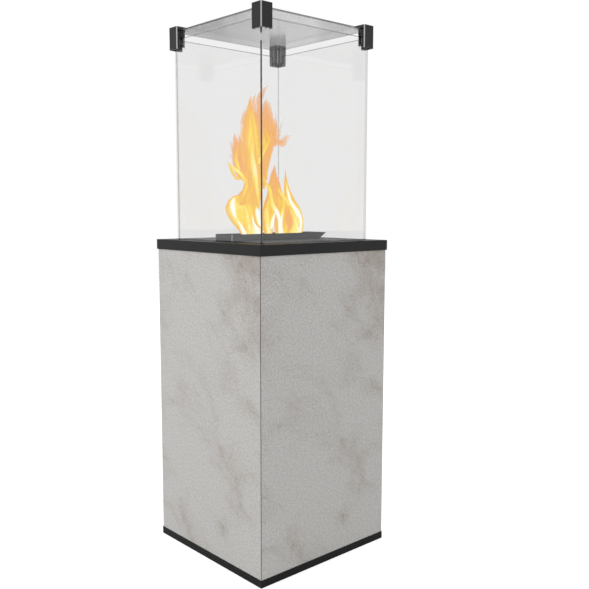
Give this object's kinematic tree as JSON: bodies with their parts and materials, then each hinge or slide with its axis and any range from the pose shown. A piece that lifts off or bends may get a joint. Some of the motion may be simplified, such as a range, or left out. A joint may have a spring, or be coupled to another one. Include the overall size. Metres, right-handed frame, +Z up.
{
  "type": "gas patio heater",
  "caption": "Square stone-look column hiding a gas cylinder, with a black tray, a linear burner and a tall glass flame chamber held by corner clamps.",
  "frame": {"origin": "middle of the footprint on the ground", "axes": "+Z up, -Y the front, +X the right side, +Y the back with the door"},
  "size_m": [0.5, 0.5, 1.5745],
  "materials": {
    "black_coat": "fine satin powder coat",
    "frame_coat": "matt powder coat",
    "stone_board": "compact board with a pale mottled stone face",
    "clear_glass": "clear toughened glass",
    "clamp_coat": "dark satin coat",
    "soft_rubber": "matt",
    "burner_coat": "heat-proof satin coat",
    "zinc_steel": "zinc plated",
    "brass": "machined",
    "copper": "drawn",
    "aluminium": "drawn",
    "ceramic": "glazed",
    "lead_silicone": "satin",
    "black_plastic": "moulded",
    "red_plastic": "moulded",
    "cylinder_paint": "semi-gloss paint",
    "hose_rubber": "matt"
  },
  "bodies": {
    "root": {"plinth_floor": "black_coat", "plinth_skirt": "black_coat", "top_tray": "black_coat", "hearth_plate": "black_coat", "control_plate": "black_coat", "corner_posts": "frame_coat", "top_rails": "frame_coat", "hearth_beams": "frame_coat", "glass_channels": "frame_coat", "cylinder_stops": "frame_coat", "front_panel": "stone_board", "left_panel": "stone_board", "right_panel": "stone_board", "front_glass": "clear_glass", "left_glass": "clear_glass", "right_glass": "clear_glass", "rear_glass": "clear_glass", "top_glass": "clear_glass", "clamp_front_right": "clamp_coat", "clamp_front_left": "clamp_coat", "clamp_rear_right": "clamp_coat", "clamp_rear_left": "clamp_coat", "rubber_feet": "soft_rubber", "glass_seal": "soft_rubber", "clamp_pads": "soft_rubber", "burner_trough": "burner_coat", "burner_deck": "burner_coat", "foot_screws": "zinc_steel", "clamp_screws": "zinc_steel", "pilot_bracket": "zinc_steel", "mixing_tube": "zinc_steel", "heat_shield": "zinc_steel", "hose_ferrules": "zinc_steel", "frame_hinges": "zinc_steel", "magnet_catch": "zinc_steel", "regulator": "zinc_steel", "control_valve": "zinc_steel", "injector": "brass", "pilot_burner": "brass", "cylinder_valve": "brass", "thermocouple": "copper", "thermocouple_lead": "copper", "pilot_tube": "copper", "gas_pipe": "aluminium", "igniter_electrode": "ceramic", "igniter_lead": "lead_silicone", "piezo_igniter": "black_plastic", "cylinder_shell": "cylinder_paint", "cylinder_ring": "cylinder_paint", "cylinder_collar": "cylinder_paint", "gas_hose": "hose_rubber"},
    "door": {"door_panel": "stone_board", "door_plate": "frame_coat", "door_rails": "frame_coat", "door_hinges": "zinc_steel"},
    "handwheel": {"cylinder_handwheel": "red_plastic"},
    "main_sleeve": {"main_sleeve": "brass"},
    "main_knob": {"main_knob": "black_plastic"},
    "flame_knob": {"flame_knob": "black_plastic"},
    "igniter_button": {"igniter_button": "red_plastic"}
  },
  "joints": [
    {"name": "door_swing", "type": "hinge", "parent": "root", "child": "door", "pos_m": [-0.23, 0.243, 0.5], "axis": [0, 0, 1], "range_deg": [0, 110]},
    {"name": "handwheel_turn", "type": "hinge", "parent": "root", "child": "handwheel", "pos_m": [0, 0, 0.565], "axis": [0, 0, 1], "range_deg": [0, 900]},
    {"name": "knob_press", "type": "slide", "parent": "root", "child": "main_sleeve", "axis": [0, -1, 0], "range_m": [0, 0.005], "stiffness_N_per_m": 1500},
    {"name": "main_knob_turn", "type": "hinge", "parent": "main_sleeve", "child": "main_knob", "pos_m": [-0.018, 0.2, 0.818], "axis": [0, 1, 0], "range_deg": [0, 180]},
    {"name": "flame_knob_turn", "type": "hinge", "parent": "root", "child": "flame_knob", "pos_m": [0.028, 0.2, 0.818], "axis": [0, 1, 0], "range_deg": [0, 270]},
    {"name": "igniter_press", "type": "slide", "parent": "root", "child": "igniter_button", "axis": [0, -1, 0], "range_m": [0, 0.006], "stiffness_N_per_m": 1500}
  ]
}
